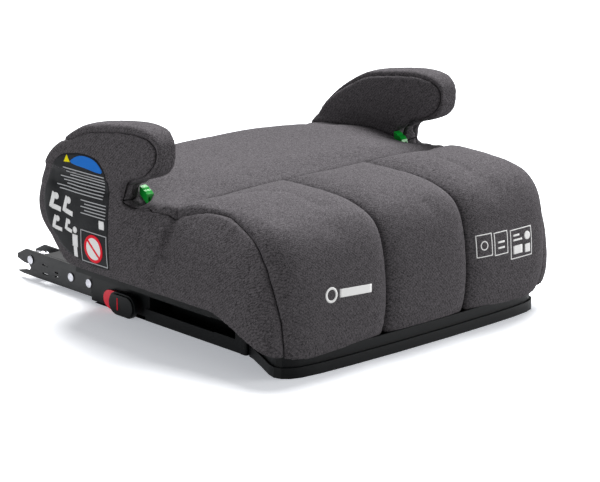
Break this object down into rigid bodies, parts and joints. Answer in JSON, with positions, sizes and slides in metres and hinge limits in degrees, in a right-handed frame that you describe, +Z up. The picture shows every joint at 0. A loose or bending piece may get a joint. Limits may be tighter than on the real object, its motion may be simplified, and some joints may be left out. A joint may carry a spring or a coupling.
{
  "type": "booster seat",
  "caption": "Backless child booster seat with knit covers, low armrests with belt guides, and sliding anchor arms that latch to a car's lower anchor bars.",
  "frame": {"origin": "on the ground under the tray, in the middle of the seat's width", "axes": "+Z up, the seated child faces -Y, the anchor arms reach out along +Y, the child's left is +X"},
  "size_m": [0.4412, 0.495, 0.227],
  "materials": {
    "knit_cover": "heathered dark grey knit, matt",
    "foam": "open cell foam",
    "shell_plastic": "matt black moulded",
    "tray_plastic": "fine grained black moulded",
    "screw_steel": "zinc plated",
    "guide_green": "satin green moulded",
    "label_print": "matt printed patch",
    "arm_steel": "black coated sheet steel",
    "zinc_steel": "bright zinc plated",
    "sleeve_plastic": "satin black moulded",
    "indicator_red": "satin red moulded"
  },
  "bodies": {
    "seat": {"seat_panel": "knit_cover", "rear_panel": "knit_cover", "front_panel_centre": "knit_cover", "front_panel_right": "knit_cover", "front_panel_left": "knit_cover", "side_panel_right": "knit_cover", "side_panel_left": "knit_cover", "armrest_cover_right": "knit_cover", "armrest_cover_left": "knit_cover", "armrest_inner_panel_right": "knit_cover", "armrest_inner_panel_left": "knit_cover", "seat_foam": "foam", "seat_shell": "shell_plastic", "base_tray": "tray_plastic", "guide_rail_right": "tray_plastic", "guide_rail_left": "tray_plastic", "rail_end_stop_right": "tray_plastic", "rail_end_stop_left": "tray_plastic", "tray_screw_1": "screw_steel", "tray_screw_2": "screw_steel", "tray_screw_3": "screw_steel", "tray_screw_4": "screw_steel", "belt_guide_right": "guide_green", "belt_guide_left": "guide_green", "label_patch": "label_print"},
    "arm_right": {"arm_plate_outer_right": "arm_steel", "arm_plate_inner_right": "arm_steel", "arm_sleeve_right": "sleeve_plastic", "jaw_rivet_right": "zinc_steel", "pawl_rivet_right": "zinc_steel", "sleeve_rivet_right": "zinc_steel", "lock_indicator_right": "indicator_red", "jaw_spring_right": "zinc_steel", "button_spring_right": "zinc_steel"},
    "jaw_right": {"jaw_hook_right": "zinc_steel"},
    "pawl_right": {"release_pawl_right": "arm_steel"},
    "button_right": {"release_button_right": "sleeve_plastic"},
    "arm_left": {"arm_plate_outer_left": "arm_steel", "arm_plate_inner_left": "arm_steel", "arm_sleeve_left": "sleeve_plastic", "jaw_rivet_left": "zinc_steel", "pawl_rivet_left": "zinc_steel", "sleeve_rivet_left": "zinc_steel", "lock_indicator_left": "indicator_red", "jaw_spring_left": "zinc_steel", "button_spring_left": "zinc_steel"},
    "jaw_left": {"jaw_hook_left": "zinc_steel"},
    "pawl_left": {"release_pawl_left": "arm_steel"},
    "button_left": {"release_button_left": "sleeve_plastic"}
  },
  "joints": [
    {"name": "arm_slide_right", "type": "slide", "parent": "seat", "child": "arm_right", "axis": [0, 1, 0], "range_m": [-0.1, 0]},
    {"name": "jaw_turn_right", "type": "hinge", "parent": "arm_right", "child": "jaw_right", "pos_m": [-0.1445, 0.258, 0.023], "axis": [1, 0, 0], "range_deg": [-50, 0], "stiffness_Nm_per_rad": 0.05, "springref_deg": 5.73},
    {"name": "button_press_right", "type": "slide", "parent": "arm_right", "child": "button_right", "axis": [1, 0, 0], "range_m": [0, 0.0035], "stiffness_N_per_m": 400, "springref_m": -0.001},
    {"name": "pawl_turn_right", "type": "hinge", "parent": "arm_right", "child": "pawl_right", "pos_m": [-0.145, 0.184, 0.019], "axis": [1, 0, 0], "range_deg": [-7, 0]},
    {"name": "arm_slide_left", "type": "slide", "parent": "seat", "child": "arm_left", "axis": [0, 1, 0], "range_m": [-0.1, 0]},
    {"name": "jaw_turn_left", "type": "hinge", "parent": "arm_left", "child": "jaw_left", "pos_m": [0.1445, 0.258, 0.023], "axis": [1, 0, 0], "range_deg": [-50, 0], "stiffness_Nm_per_rad": 0.05, "springref_deg": 5.73},
    {"name": "button_press_left", "type": "slide", "parent": "arm_left", "child": "button_left", "axis": [-1, 0, 0], "range_m": [0, 0.0035], "stiffness_N_per_m": 400, "springref_m": -0.001},
    {"name": "pawl_turn_left", "type": "hinge", "parent": "arm_left", "child": "pawl_left", "pos_m": [0.145, 0.184, 0.019], "axis": [1, 0, 0], "range_deg": [-7, 0]}
  ],
  "couplings": [
    {"joint": "pawl_turn_right", "follows": "button_press_right", "rad_per_m": -30},
    {"joint": "pawl_turn_left", "follows": "button_press_left", "rad_per_m": -30}
  ]
}
